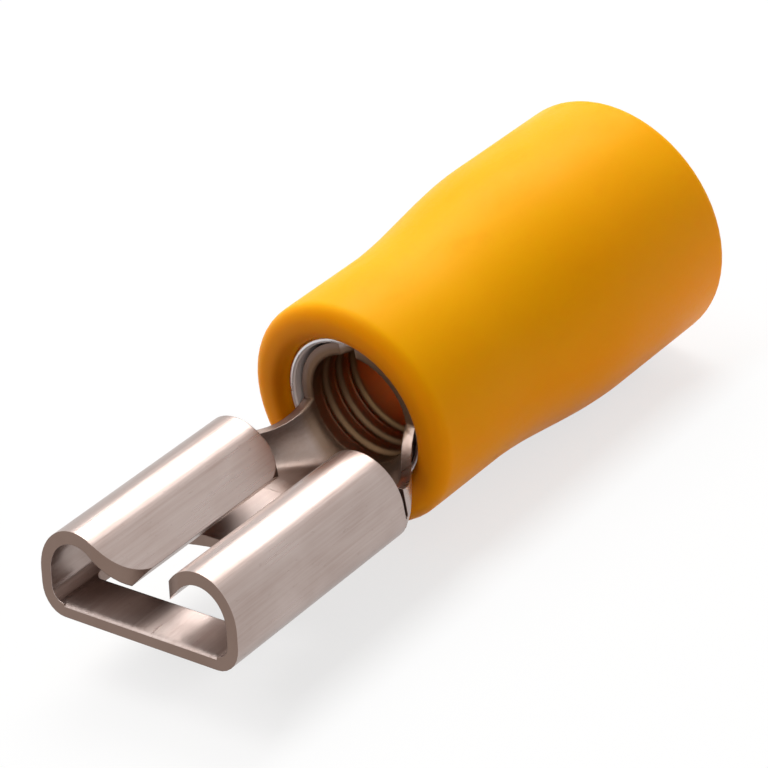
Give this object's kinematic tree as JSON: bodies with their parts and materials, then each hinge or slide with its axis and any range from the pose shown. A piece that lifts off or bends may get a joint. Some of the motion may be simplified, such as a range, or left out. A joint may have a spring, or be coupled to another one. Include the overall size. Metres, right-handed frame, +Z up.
{
  "type": "female spade terminal",
  "caption": "Insulated female spade terminal: sheet-metal receptacle with rolled wings, folded neck and serrated wire barrel in a flared amber sleeve.",
  "frame": {"origin": "middle of the bounding box in plan, on the surface that the sleeve's widest part rests on", "axes": "+Y runs from the mouth to the wire entry along the length, +Z is up from the receptacle's floor to its rolled wings"},
  "size_m": [0.0086, 0.0238, 0.0086],
  "materials": {
    "contact": "satin tin plate, brushed along the length",
    "support_tube": "bright tin plate",
    "insulating_sleeve": "soft satin"
  },
  "bodies": {
    "root": {"contact": "contact", "support_tube": "support_tube", "insulating_sleeve": "insulating_sleeve"}
  },
  "joints": []
}
